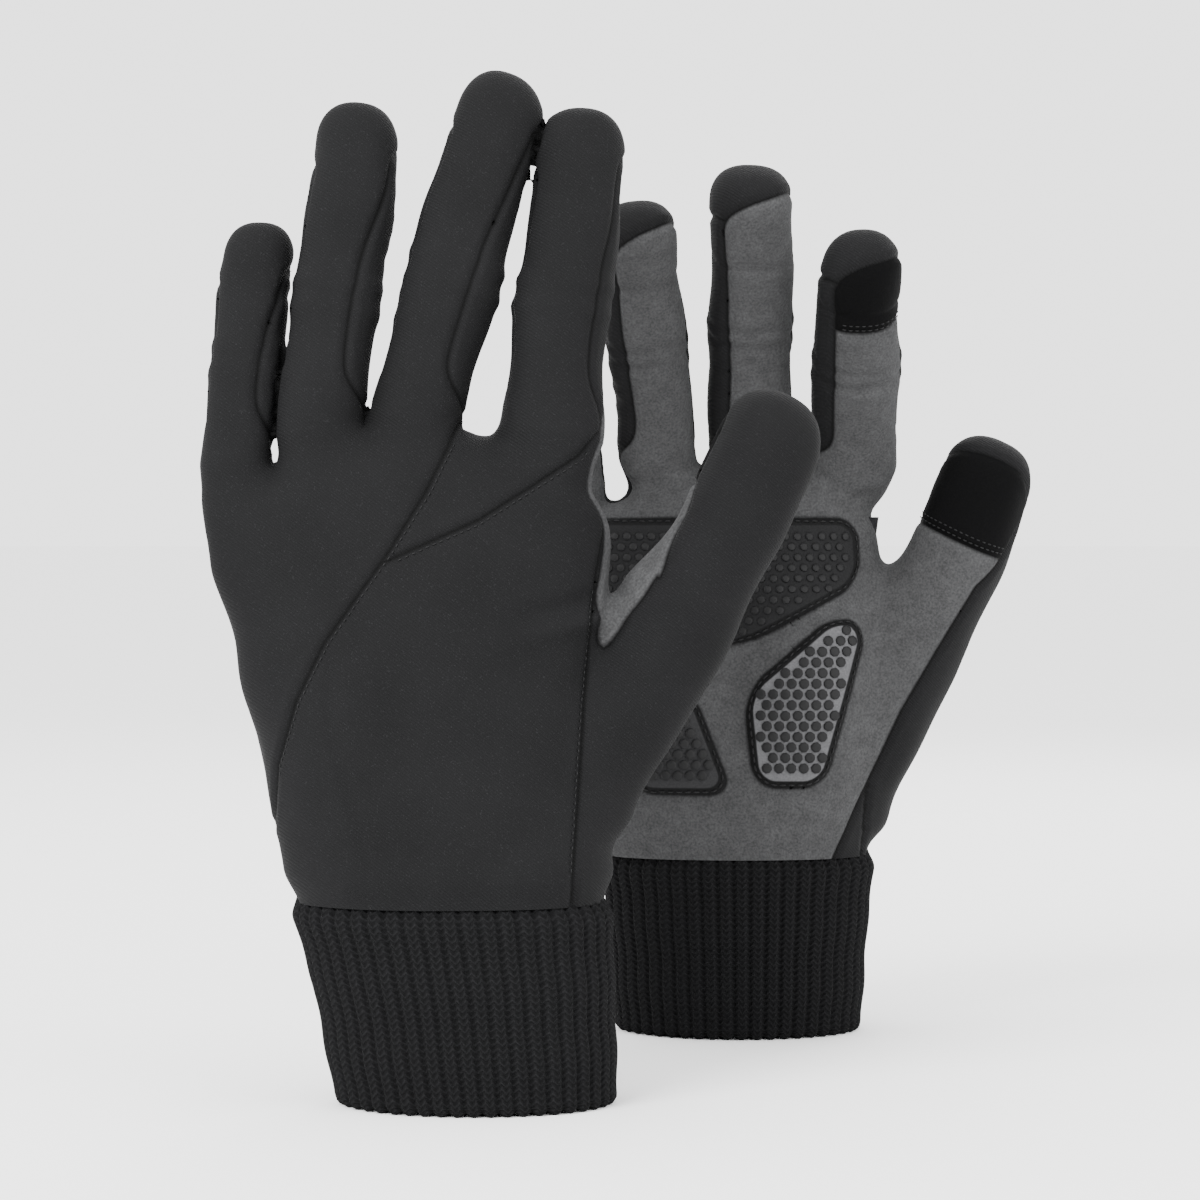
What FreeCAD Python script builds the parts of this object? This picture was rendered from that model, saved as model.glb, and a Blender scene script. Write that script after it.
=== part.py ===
import FreeCAD, Part
import math
import os
import Sketcher

# A pair of touchscreen gloves standing upright on their cuff hems, in millimetres.
# +Z is up, the back of the left glove faces -Y and the palm of the right glove faces -Y.
# The thumbs of both gloves point to +X. The hem plane is z = 0.

V = FreeCAD.Vector

SIZES = {
    "pair_spacing": 134.0,
    "pair_shift": -11.7,
    "cuff_wall": 2.4,
    "finger_wall": 1.4,
    "outer_growth": 0.0,
    "inner_growth": -1.6,
    "core_growth": -2.4,
    "raised_growth": 1.6,
    "pad_corner": 7.0,
    "hinge_gap": 0.3,
    "back_angle": 220.0,
    "collar_depth": 16.0,
    "collar_narrowing": 0.5,
    "index_touch_length": 29.0,
}

# Each stall: radius at the root, radius at the tip, length, length of its lower part.
STALLS = {
    "index": (13.0, 11.0, 85.0, 36.0),
    "middle": (12.0, 11.4, 94.0, 40.0),
    "ring": (11.2, 10.8, 87.5, 37.0),
    "little": (9.3, 9.0, 65.0, 28.0),
    "thumb": (14.0, 12.8, 60.0, 27.0),
}

# Where each stall leaves the hand: x, distance toward the palm, height, lean toward the thumb side,
# tilt toward the palm, and roll of its palm side toward the little finger.
STANCES = {
    "left": {
        "index": (-12.5, 0.0, 170.0, 5.8, 5.0, 0.0),
        "middle": (-47.5, 0.0, 173.0, 15.0, 5.0, 0.0),
        "ring": (-71.4, 0.0, 169.0, 6.6, 6.0, 0.0),
        "little": (-92.9, 1.0, 162.0, 5.1, 9.0, 0.0),
        "thumb": (23.0, 5.0, 127.0, 27.0, 5.0, 25.0),
    },
    "right": {
        "index": (73.5, 3.0, 166.0, -1.0, 40.0, 0.0),
        "middle": (44.0, 1.5, 170.0, -1.5, 33.0, 0.0),
        "ring": (16.7, 1.5, 167.0, -5.5, 33.0, 0.0),
        "little": (-7.6, 1.0, 158.0, -9.0, 28.0, 0.0),
        "thumb": (94.5, 5.0, 117.0, 23.0, 8.0, 25.0),
    },
}

# Outlines of the hand from the wrist up: height, centre x, half width, half depth.
HAND_SECTIONS = {
    "left": [
        (52.0, -38.0, 42.0, 25.0),
        (98.0, -44.0, 44.0, 22.5),
        (130.0, -48.0, 48.0, 18.5),
        (163.3, -49.5, 52.0, 14.5),
    ],
    "right": [
        (52.0, 40.5, 41.0, 25.0),
        (92.0, 38.5, 43.5, 23.0),
        (124.0, 33.7, 46.0, 19.5),
        (157.6, 33.5, 52.5, 15.0),
    ],
}

# How the top outline of the hand is turned: up toward the thumb side, and down toward the palm.
HAND_TOP_TURNS = {"left": (5.5, 6.0), "right": (5.0, 23.0)}

# Outlines of the cuff from the hem up: height, centre x, half width, half depth.
CUFF_SECTIONS = {
    "left": [(0.0, -31.3, 36.5, 27.0), (30.0, -34.5, 39.0, 26.5), (52.0, -38.0, 42.0, 25.0)],
    "right": [(0.0, 40.7, 36.5, 27.0), (30.0, 40.6, 38.5, 26.5), (52.0, 40.5, 41.0, 25.0)],
}

# The cone that carries the thumb: radius low in the palm and how far it reaches down.
THUMB_ROOT = (9.5, 62.0)

# Grip pads on the palm as outlines: sideways from the middle of the hand, and height.
PADS = {
    "knuckle_pad": [(-42.0, 150.0), (41.0, 150.0), (42.0, 131.0), (4.0, 111.0), (-42.0, 116.0)],
    "thumb_pad": [(3.0, 100.0), (30.0, 123.0), (40.0, 119.0), (27.0, 72.0), (6.0, 72.0)],
    "heel_pad": [(-34.0, 101.0), (-12.0, 101.0), (0.0, 70.0), (-30.0, 70.0)],
}

# How far the cutting solids of the hand's inside run out past its openings.
PAST_OPENING = 2.0
# The edge length of the boxes that halve the hand, and the depth of the blocks that cut out the pads.
HALF_REACH = 400.0
PAD_BLOCK_DEPTH = 60.0

doc = FreeCAD.newDocument("touchscreen_gloves")
sheet = doc.addObject("Spreadsheet::Sheet", "Sizes")
nodes = []
rows = []


def store(alias, value):
    """Put one driving number in the sheet under its own name."""
    row = len(rows) + 1
    rows.append(alias)
    sheet.set("A%d" % row, alias)
    sheet.set("B%d" % row, repr(float(value)))
    sheet.setAlias("B%d" % row, alias)


for alias, value in SIZES.items():
    store(alias, value)
for stall, numbers in STALLS.items():
    for word, value in zip(("root_radius", "tip_radius", "length", "lower_length"), numbers):
        store("%s_%s" % (stall, word), value)
store("thumb_root_radius_low", THUMB_ROOT[0])
store("thumb_root_depth", THUMB_ROOT[1])
for part_name, table in (("hand", HAND_SECTIONS), ("cuff", CUFF_SECTIONS)):
    for side, sections in table.items():
        for number, section in enumerate(sections):
            for word, value in zip(("height", "centre", "width", "depth"), section):
                store("%s_%s_%s_%s" % (side, part_name, "abcd"[number], word), value)
doc.recompute()


def size(alias):
    """The sheet's number for a name."""
    return float(sheet.get(alias))


def palm_sign(side):
    """The palm faces +Y on the left glove and -Y on the right one."""
    return 1.0 if side == "left" else -1.0


def glove_offset(side):
    """Where the middle of a glove's cuff stands in the pair's frame, before its own x."""
    return V(size("pair_shift"), -palm_sign(side) * size("pair_spacing") / 2, 0)


def stall_frame(side, stall):
    """Root point, lengthwise direction and palm-side direction of one finger stall."""
    x, palmward, height, lean, tilt, roll = STANCES[side][stall]
    facing = palm_sign(side)
    lean, tilt, roll = math.radians(lean), math.radians(tilt), math.radians(roll)
    root = V(x, facing * palmward, height) + glove_offset(side)
    along = V(math.sin(lean) * math.cos(tilt), facing * math.sin(tilt), math.cos(lean) * math.cos(tilt))
    palm = V(0, facing, 0) - along * (along.y * facing)
    palm.normalize()
    inward = along.cross(palm)
    if inward.x > 0:
        inward = inward * -1
    palm = palm * math.cos(roll) + inward * math.sin(roll)
    return root, along, palm


def stall_placement(side, stall, distance, turn):
    """A placement at a distance up the stall whose local x is turned from the palm side."""
    root, along, palm = stall_frame(side, stall)
    upright = FreeCAD.Rotation(palm.cross(along), palm, along, "ZYX")
    return FreeCAD.Placement(root + along * distance, upright * FreeCAD.Rotation(V(0, 0, 1), turn))


def profile_sketch(body, name):
    """An empty sketch on the body's own XZ plane."""
    plane = [item for item in body.Origin.OriginFeatures if item.Role == "XZ_Plane"][0]
    sketch = body.newObject("Sketcher::SketchObject", name)
    sketch.AttachmentSupport = [(plane, "")]
    sketch.MapMode = "FlatFace"
    return sketch


def drive(sketch, kind, places, name, expression):
    """Add a named distance to a sketch and let the sheet set it."""
    number = sketch.addConstraint(Sketcher.Constraint(kind, *places, 1.0))
    sketch.renameConstraint(number, name)
    sketch.setExpression("Constraints." + name, expression)


def straight_profile(sketch, start_radius, end_radius, length):
    """The wall of an open tube: four lines, driven by three expressions."""
    corners = [V(10, 0, 0), V(9, 30, 0), V(8, 30, 0), V(9, 0, 0)]
    for number in range(4):
        sketch.addGeometry(Part.LineSegment(corners[number], corners[(number + 1) % 4]), False)
    for number in range(4):
        sketch.addConstraint(Sketcher.Constraint("Coincident", number, 2, (number + 1) % 4, 1))
    sketch.addConstraint(Sketcher.Constraint("PointOnObject", 0, 1, -1))
    sketch.addConstraint(Sketcher.Constraint("Horizontal", 1))
    sketch.addConstraint(Sketcher.Constraint("Horizontal", 3))
    drive(sketch, "DistanceX", (-1, 1, 0, 1), "start_radius", start_radius)
    drive(sketch, "DistanceX", (-1, 1, 0, 2), "end_radius", end_radius)
    drive(sketch, "DistanceY", (-1, 1, 0, 2), "length", length)
    drive(sketch, "DistanceX", (-1, 1, 2, 1), "end_bore", end_radius + " - Sizes.finger_wall")
    drive(sketch, "DistanceX", (-1, 1, 2, 2), "start_bore", start_radius + " - Sizes.finger_wall")


def domed_profile(sketch, start_radius, end_radius, length):
    """The wall of a tube closed by a round tip: lines and two arcs about one centre."""
    quarter = math.pi / 2
    sketch.addGeometry(Part.LineSegment(V(10, 0, 0), V(9, 30, 0)), False)
    sketch.addGeometry(Part.ArcOfCircle(Part.Circle(V(0, 30, 0), V(0, 0, 1), 9), 0, quarter), False)
    sketch.addGeometry(Part.LineSegment(V(0, 39, 0), V(0, 38, 0)), False)
    sketch.addGeometry(Part.ArcOfCircle(Part.Circle(V(0, 30, 0), V(0, 0, 1), 8), 0, quarter), False)
    sketch.addGeometry(Part.LineSegment(V(8, 30, 0), V(9, 0, 0)), False)
    sketch.addGeometry(Part.LineSegment(V(9, 0, 0), V(10, 0, 0)), False)
    for first, first_end, second, second_end in (
        (0, 2, 1, 1), (1, 2, 2, 1), (2, 2, 3, 2), (3, 1, 4, 1), (4, 2, 5, 1), (5, 2, 0, 1), (1, 3, 3, 3),
    ):
        sketch.addConstraint(Sketcher.Constraint("Coincident", first, first_end, second, second_end))
    sketch.addConstraint(Sketcher.Constraint("PointOnObject", 1, 3, -2))
    sketch.addConstraint(Sketcher.Constraint("Vertical", 2))
    sketch.addConstraint(Sketcher.Constraint("PointOnObject", 2, 1, -2))
    sketch.addConstraint(Sketcher.Constraint("Horizontal", 5))
    sketch.addConstraint(Sketcher.Constraint("PointOnObject", 0, 1, -1))
    sketch.addConstraint(Sketcher.Constraint("Horizontal", 0, 2, 1, 3))
    sketch.addConstraint(Sketcher.Constraint("Horizontal", 4, 1, 1, 3))
    drive(sketch, "DistanceX", (-1, 1, 0, 1), "start_radius", start_radius)
    drive(sketch, "DistanceX", (-1, 1, 0, 2), "end_radius", end_radius)
    drive(sketch, "DistanceX", (-1, 1, 4, 1), "end_bore", end_radius + " - Sizes.finger_wall")
    drive(sketch, "DistanceX", (-1, 1, 4, 2), "start_bore", start_radius + " - Sizes.finger_wall")
    drive(sketch, "DistanceY", (-1, 1, 1, 2), "length", length)


def distance(*names):
    """A distance up a stall as a sum of named sizes: its number, and its expression.

    A name with a minus in front of it is taken away.
    """
    number, words = 0.0, []
    for name in names:
        sign = -1 if name.startswith("-") else 1
        number += sign * size(name.lstrip("-"))
        words.append("%d * Sizes.%s" % (sign, name.lstrip("-")))
    return number, " + ".join(words)


def stall_panel(side, stall, name, faces_palm, domed, start, end):
    """One sewn panel of a stall: a tube's wall turned through the back or the palm angle."""
    body = doc.addObject("PartDesign::Body", "%s_%s_%s" % (side, stall, name))
    sketch = profile_sketch(body, body.Name + "_wall")
    root_radius, tip_radius = "Sizes.%s_root_radius" % stall, "Sizes.%s_tip_radius" % stall
    taper = "(%s - %s) / (Sizes.%s_length - %s)" % (root_radius, tip_radius, stall, tip_radius)
    start_radius = "%s - %s * (%s)" % (root_radius, taper, start[1])
    length = "(%s) - (%s)" % (end[1], start[1])
    if domed:
        domed_profile(sketch, start_radius, tip_radius, length)
    else:
        straight_profile(sketch, start_radius, "%s - %s * (%s)" % (root_radius, taper, end[1]), length)
    sketch.recompute()
    turned = body.newObject("PartDesign::Revolution", body.Name + "_turned")
    turned.Profile = sketch
    turned.ReferenceAxis = (sketch, ["V_Axis"])
    turned.Midplane = True
    turned.setExpression("Angle", "360 - Sizes.back_angle" if faces_palm else "Sizes.back_angle")
    body.Placement = stall_placement(side, stall, start[0], 90 if faces_palm else -90)
    nodes.append(body)


def stall_panels(side, stall):
    """The lower and upper parts of one stall, each as a back panel and a palm panel."""
    bottom, knuckle = distance("hinge_gap"), distance(stall + "_lower_length")
    above, end = distance(stall + "_lower_length", "hinge_gap"), distance(stall + "_length")
    stall_panel(side, stall, "base_back", False, False, bottom, knuckle)
    stall_panel(side, stall, "base_palm", True, False, bottom, knuckle)
    stall_panel(side, stall, "tip_back", False, True, above, end)
    if stall == "thumb":
        stall_panel(side, stall, "touch", True, True, above, end)
    elif stall == "index":
        patch = distance(stall + "_length", "-index_touch_length")
        stall_panel(side, stall, "tip_palm", True, False, above, patch)
        stall_panel(side, stall, "touch", True, True, patch, end)
    else:
        stall_panel(side, stall, "tip_palm", True, True, above, end)


def oval(name, side, alias, offset, lift, turn=FreeCAD.Rotation()):
    """A flat ellipse of a section of the hand or the cuff, grown all round by an offset."""
    ellipse = doc.addObject("Part::Ellipse", name)
    ellipse.setExpression("MajorRadius", "Sizes.%s_width + %s" % (alias, offset))
    ellipse.setExpression("MinorRadius", "Sizes.%s_depth + %s" % (alias, offset))
    centre = glove_offset(side) + V(size(alias + "_centre"), 0, size(alias + "_height") + lift)
    ellipse.Placement = FreeCAD.Placement(centre, turn)
    return ellipse


def top_turn(side):
    """How the hand's top outline is turned so that it follows the roots of the stalls."""
    up, down = HAND_TOP_TURNS[side]
    return FreeCAD.Rotation(V(0, 1, 0), -up) * FreeCAD.Rotation(V(1, 0, 0), -palm_sign(side) * down)


def skinned(name, sections):
    """A solid skinned over a stack of outlines."""
    loft = doc.addObject("Part::Loft", name)
    loft.Sections = sections
    loft.Solid = True
    return loft


def hand_pieces(side, name, opened):
    """The solid hand, its stall collars and its thumb root, grown all round by their own growth.

    Opened pieces run out past the wrist and the collars, so that cutting them away leaves holes there.
    """
    offset = "Sizes.%s_growth" % name
    past = PAST_OPENING if opened else 0.0
    lifts = {"a": -past, "d": size(name + "_growth")}
    turns = {"d": top_turn(side)}
    ovals = []
    for letter in "abcd":
        alias = "%s_hand_%s" % (side, letter)
        lift, turn = lifts.get(letter, 0.0), turns.get(letter, FreeCAD.Rotation())
        ovals.append(oval("%s_%s_%s" % (side, name, letter), side, alias, offset, lift, turn))
    pieces = [skinned("%s_%s_palm" % (side, name), ovals)]
    for stall in STALLS:
        lowest = size("thumb_root_depth") if stall == "thumb" else size("collar_depth")
        low_radius = "Sizes.thumb_root_radius_low"
        if stall != "thumb":
            low_radius = "Sizes.collar_narrowing * Sizes.%s_root_radius" % stall
        cone = doc.addObject("Part::Cone", "%s_%s_%s" % (side, name, stall))
        cone.setExpression("Radius1", "%s + %s" % (low_radius, offset))
        cone.setExpression("Radius2", "Sizes.%s_root_radius + %s" % (stall, offset))
        cone.Height = lowest + past
        cone.Placement = stall_placement(side, stall, -lowest, 0)
        pieces.append(cone)
    return pieces


def fused(name, pieces):
    """One solid out of several that overlap."""
    whole = doc.addObject("Part::MultiFuse", name)
    whole.Shapes = pieces
    return whole


def boolean(kind, name, base, tool):
    """A cut or a common of two solids."""
    result = doc.addObject("Part::" + kind, name)
    result.Base = base
    result.Tool = tool
    return result


def hollowed(name, base, tools):
    """A solid with several others cut out of it one after another."""
    for number, tool in enumerate(tools):
        last = number == len(tools) - 1
        base = boolean("Cut", name if last else "%s_cut_%d" % (name, number), base, tool)
    return base


def half_space(side, name, palm_half):
    """A box that fills everything on the back or the palm side of a glove's middle plane."""
    box = doc.addObject("Part::Box", name)
    box.Length = HALF_REACH
    box.Width = HALF_REACH
    box.Height = HALF_REACH
    toward_plus = (palm_sign(side) > 0) == palm_half
    low_y = 0.0 if toward_plus else -HALF_REACH
    box.Placement = FreeCAD.Placement(glove_offset(side) + V(-HALF_REACH / 2, low_y, -1), FreeCAD.Rotation())
    return box


def pad_prism(side, name):
    """A rounded block with a pad's outline, standing out from the middle plane on the palm side."""
    outline = PADS[name]
    middle = sum(height for _, height in outline) / len(outline)
    below = [section for section in HAND_SECTIONS[side] if section[0] <= middle][-1]
    above = [section for section in HAND_SECTIONS[side] if section[0] > middle][0]
    share = (middle - below[0]) / (above[0] - below[0])
    centre = below[1] + (above[1] - below[1]) * share
    body = doc.addObject("PartDesign::Body", "%s_%s_block" % (side, name))
    sketch = profile_sketch(body, body.Name + "_outline")
    corners = [V(across, height, 0) for across, height in outline]
    for number in range(len(corners)):
        follower = corners[(number + 1) % len(corners)]
        sketch.addGeometry(Part.LineSegment(corners[number], follower), False)
    for number in range(len(corners)):
        following = (number + 1) % len(corners)
        sketch.addConstraint(Sketcher.Constraint("Coincident", number, 2, following, 1))
        sketch.addConstraint(Sketcher.Constraint("DistanceX", -1, 1, number, 1, corners[number].x))
        sketch.addConstraint(Sketcher.Constraint("DistanceY", -1, 1, number, 1, corners[number].y))
    sketch.recompute()
    block = body.newObject("PartDesign::Pad", body.Name + "_block")
    block.Profile = sketch
    block.Length = PAD_BLOCK_DEPTH
    block.Reversed = side == "left"
    doc.recompute()
    edges = []
    for number, edge in enumerate(block.Shape.Edges):
        ends = edge.Vertexes
        if abs(ends[0].Point.y - ends[-1].Point.y) > PAD_BLOCK_DEPTH / 2:
            edges.append("Edge%d" % (number + 1))
    rounded = body.newObject("PartDesign::Fillet", body.Name + "_rounded")
    rounded.Base = (block, edges)
    rounded.setExpression("Radius", "Sizes.pad_corner")
    body.Placement = FreeCAD.Placement(glove_offset(side) + V(centre, 0, 0), FreeCAD.Rotation())
    return body


def hand_parts(side):
    """The hollow hand as back and palm panels, its lining, its cuff and its grip pads."""
    outer = fused(side + "_outer", hand_pieces(side, "outer", False))
    raised = fused(side + "_raised", hand_pieces(side, "raised", False))
    inner = hand_pieces(side, "inner", True)
    core = hand_pieces(side, "core", True)
    shell = hollowed(side + "_shell", outer, inner)
    back = half_space(side, side + "_back_half", False)
    palm = half_space(side, side + "_palm_half", True)
    nodes.append(boolean("Common", side + "_hand_back", shell, back))
    nodes.append(boolean("Common", side + "_hand_palm", shell, palm))
    lined = boolean("Common", side + "_lined", inner[0], outer)
    nodes.append(hollowed(side + "_lining", lined, core))
    for name in PADS:
        raised_block = boolean("Common", "%s_%s_raised" % (side, name), raised, pad_prism(side, name))
        nodes.append(boolean("Cut", "%s_%s" % (side, name), raised_block, outer))
    rings = []
    for name, offset in (("cuff_outer", "0"), ("cuff_bore", "-Sizes.cuff_wall")):
        ovals = []
        for letter in "abcd"[:len(CUFF_SECTIONS[side])]:
            alias = "%s_cuff_%s" % (side, letter)
            ovals.append(oval("%s_%s_%s" % (side, name, letter), side, alias, offset, 0.0))
        rings.append(skinned("%s_%s" % (side, name), ovals))
    nodes.append(boolean("Cut", side + "_cuff", rings[0], rings[1]))


for glove in ("left", "right"):
    for stall in STALLS:
        stall_panels(glove, stall)
    hand_parts(glove)
doc.recompute()

for item in doc.Objects:
    if "Invalid" in item.State or "Error" in item.State:
        raise RuntimeError("%s did not build: %s" % (item.Label, item.State))
os.makedirs("parts", exist_ok=True)
whole = FreeCAD.BoundBox()
for node in nodes:
    shape = node.Shape
    if shape.isNull() or not shape.isValid():
        raise RuntimeError("%s has no valid shape" % node.Label)
    shape.exportStep("parts/%s.step" % node.Label)
    whole.add(shape.BoundBox)
    print(node.Label, len(shape.Solids), round(shape.Volume / 1000, 2), "cm3")
print(len(nodes), "nodes", whole)
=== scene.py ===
import bpy
import math
import numpy as np
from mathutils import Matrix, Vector, kdtree


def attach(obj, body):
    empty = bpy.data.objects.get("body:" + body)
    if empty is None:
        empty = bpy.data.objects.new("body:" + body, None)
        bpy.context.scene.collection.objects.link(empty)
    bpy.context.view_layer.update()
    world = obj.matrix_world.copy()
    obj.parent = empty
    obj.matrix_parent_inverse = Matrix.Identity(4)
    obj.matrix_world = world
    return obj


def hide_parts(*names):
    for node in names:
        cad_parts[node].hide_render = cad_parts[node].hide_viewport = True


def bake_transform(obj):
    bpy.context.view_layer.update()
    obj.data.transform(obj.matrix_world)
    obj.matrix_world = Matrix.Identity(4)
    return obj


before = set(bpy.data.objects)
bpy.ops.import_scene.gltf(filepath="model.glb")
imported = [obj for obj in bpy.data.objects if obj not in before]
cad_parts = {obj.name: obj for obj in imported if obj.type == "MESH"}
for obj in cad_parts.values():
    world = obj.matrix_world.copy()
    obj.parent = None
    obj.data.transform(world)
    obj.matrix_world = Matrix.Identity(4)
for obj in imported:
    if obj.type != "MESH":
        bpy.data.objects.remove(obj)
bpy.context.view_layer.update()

# A pair of touchscreen gloves. Shapes are worked out in millimetres in each glove's own axes:
# x toward the thumb, p toward the palm, z up toward the fingertips.

MM = 0.001
# What is added to x to bring the pair to the middle of the frame, and the gloves' distance in depth.
PAIR_SHIFT = -11.7
PAIR_SPACING = 134.0
# How far the right glove's seams stand from the left one's, sideways and down.
SEAM_SHIFT = 83.0
SEAM_DROP = 5.0
# Spacing of the grid on which a glove's surface is found, and the thickness of its cloth.
GRID_STEP = 1.25
CLOTH = 1.0
# Two corners of the space that holds each glove, and the height where its skin ends in the cuff.
SKIN_SPACE = {
    "left": ((-116.0, -34.0, 44.0), (68.0, 42.0, 274.0)),
    "right": ((-30.0, -34.0, 44.0), (132.0, 66.0, 262.0)),
}
SKIN_BOTTOM = 51.4

# Radius at the root, radius at the tip, length, length of the lower part.
STALLS = {
    "index": (13.0, 11.0, 85.0, 36.0),
    "middle": (12.0, 11.4, 94.0, 40.0),
    "ring": (11.2, 10.8, 87.5, 37.0),
    "little": (9.3, 9.0, 65.0, 28.0),
    "thumb": (14.0, 12.8, 60.0, 27.0),
}
FINGERS = ("index", "middle", "ring", "little")
# Where a stall's foot ends inside the hand, from its root, and the share by which it narrows there.
THUMB_FOOT = (-62.0, 0.30)
FINGER_FOOT = (-16.0, 0.35)
# How square a stall's section is: 2 is an oval.
SQUARENESS = 2.35
# A point belongs to its nearest stall up to this far off it.
STALL_REACH = 8
# Fillets where the palm's swells, the thumb and the fingers join the hand.
SWELL_FILLET, THUMB_FILLET, FINGER_FILLET = 7.0, 9.0, 5.0
# The touch patches: where the thumb's starts, and the length of the index finger's.
THUMB_TOUCH_START = 29.0
INDEX_TOUCH_LENGTH = 29.0
# How far below a finger's end its side strips stop.
SIDE_STOP = 12.0

# x, distance toward the palm, height, lean toward the thumb, tilt toward the palm, roll.
STANCES = {
    "left": {
        "index": (-12.5, 0.0, 170.0, 5.8, 5.0, 0.0),
        "middle": (-47.5, 0.0, 173.0, 15.0, 5.0, 0.0),
        "ring": (-71.4, 0.0, 169.0, 6.6, 6.0, 0.0),
        "little": (-92.9, 1.0, 162.0, 5.1, 9.0, 0.0),
        "thumb": (23.0, 5.0, 127.0, 27.0, 5.0, 25.0),
    },
    "right": {
        "index": (73.5, 3.0, 166.0, -1.0, 40.0, 0.0),
        "middle": (44.0, 1.5, 170.0, -1.5, 33.0, 0.0),
        "ring": (16.7, 1.5, 167.0, -5.5, 33.0, 0.0),
        "little": (-7.6, 1.0, 158.0, -9.0, 28.0, 0.0),
        "thumb": (94.5, 5.0, 117.0, 23.0, 8.0, 25.0),
    },
}

# Height, centre x, half width, half depth.
HANDS = {
    "left": [(40, -38.0, 40.5, 24.0), (52, -38.0, 41.5, 24.6), (98, -44.0, 43.5, 22.0),
             (130, -48.0, 47.5, 18.0), (161, -49.5, 51.5, 14.0), (190, -50.0, 52.0, 12.0)],
    "right": [(40, 40.5, 39.5, 24.0), (52, 40.5, 40.5, 24.6), (92, 38.5, 43.0, 22.5),
              (124, 34.2, 46.2, 19.0), (155, 33.5, 52.0, 14.5), (190, 33.0, 52.0, 12.0)],
}
CUFFS = {
    "left": [(0.0, -31.3, 36.5, 27.0), (30.0, -34.5, 39.0, 26.5), (52.0, -38.0, 42.0, 25.0)],
    "right": [(0.0, 40.7, 36.5, 27.0), (30.0, 40.6, 38.5, 26.5), (52.0, 40.5, 41.0, 25.0)],
}

# How far up each stall its cloth starts to belong to the finger's parts.
HINGE_START = {
    "left": {"index": 4.0, "middle": 3.0, "ring": 5.0, "little": 4.0, "thumb": 2.0},
    "right": {"index": 3.0, "middle": 3.0, "ring": 3.0, "little": 4.0, "thumb": 2.0},
}
HINGE_LENGTH = 16.0
# Half the length of the cloth at a stall's middle joint, which moves the cut between the stall's lower and
# upper parts.
HALF_BEND = 9

# How far each fingertip curls toward the palm from the straight line of its stall.
CURL = {"left": 4.0, "right": 10.0}

# Height of the web between the fingers across the hand: x, z.
WEBS = {
    "left": [(-103, 158), (-92, 162), (-82, 164), (-71, 169), (-60, 172), (-47, 172),
             (-31, 171), (-12, 168), (4, 160)],
    "right": [(-20, 150), (-8, 154), (4, 156), (17, 162), (30, 165), (44, 166),
              (58, 164), (74, 162), (88, 154)],
}

# Grip pads: sideways from the middle of the hand, and height.
PADS = {
    "knuckle_pad": [(-42.0, 150.0), (41.0, 150.0), (42.0, 131.0), (4.0, 111.0), (-42.0, 116.0)],
    "thumb_pad": [(3.0, 100.0), (30.0, 123.0), (40.0, 119.0), (27.0, 72.0), (6.0, 72.0)],
    "heel_pad": [(-34.0, 101.0), (-12.0, 101.0), (0.0, 70.0), (-30.0, 70.0)],
}
PAD_CORNER = 7.0
PAD_RISE = 1.2
# The swells of the palm: sideways from its middle, toward the palm, height; then half of each size.
PALM_SWELLS = [((20, 13, 96), (21, 13, 34)), ((-20, 12, 90), (20, 12.5, 32))]
# Slack in the cloth as waves: their numbers along x, p and z, phase, and height.
SLACK = [(0.11, 0.05, 0.07, 0.4, 0.35), (-0.06, 0.08, 0.16, 2.1, 0.25), (0.19, -0.1, 0.05, 4.0, 0.2),
         (0.03, 0.12, 0.24, 1.3, 0.16), (0.23, 0.1, -0.15, 5.2, 0.12)]

# Seams of the left glove's back. The first two give x at a height, the third gives height at an x.
BACK_SEAM = [(60, -84.5), (69, -83.0), (87, -81.5), (103, -76.5), (118, -69.0), (140, -53.5),
             (156, -43.5), (171, -36.5), (178, -33.0)]
THUMB_SEAM = [(50, -7.0), (62, -6.4), (103, -3.8), (134, -0.8), (150, 2.0)]
GUSSET_SEAM = [(-60, 136.0), (-53.5, 138.5), (-30.5, 148.7), (-5.0, 165.0), (4.0, 176.0)]
# The dart pressed into the back: x at a height.
DART = [(59, -57.4), (98, -67.6), (118, -68.0)]
# Where the suede ends along the thumb's outer side: distance up the thumb, sideways.
THUMB_EDGE = [(-75, 0.5), (-22, 2.2), (19, 7.5), (41, 13.0), (60, 16.0)]


def smooth_table(points, spread):
    """A dense, rounded version of a line of points, for looking values up."""
    given = list(zip(*points))
    where = np.arange(given[0][0], given[0][-1] + 1, 1.0)
    columns = [np.interp(where, given[0], column) for column in given[1:]]
    reach = int(spread * 3)
    weights = np.exp(-0.5 * (np.arange(-reach, reach + 1) / spread) ** 2)
    weights /= weights.sum()
    smooth = []
    for column in columns:
        padded = np.concatenate([
            column[0] - (column[1] - column[0]) * np.arange(reach, 0, -1), column,
            column[-1] + (column[-1] - column[-2]) * np.arange(1, reach + 1)])
        smooth.append(np.convolve(padded, weights, "valid"))
    return where, smooth


def smoothstep(low, high, value):
    share = np.clip((value - low) / (high - low), 0, 1)
    return share * share * (3 - 2 * share)


def smooth_min(first, second, reach):
    """The union of two fields, with a fillet."""
    share = np.clip(0.5 + 0.5 * (second - first) / reach, 0, 1)
    return second * (1 - share) + first * share - reach * share * (1 - share)


def bump(value, width):
    return np.exp(-(value / width) ** 2)


def unit(rows):
    return rows / np.maximum(np.linalg.norm(rows, axis=1, keepdims=True), 1e-12)


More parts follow.
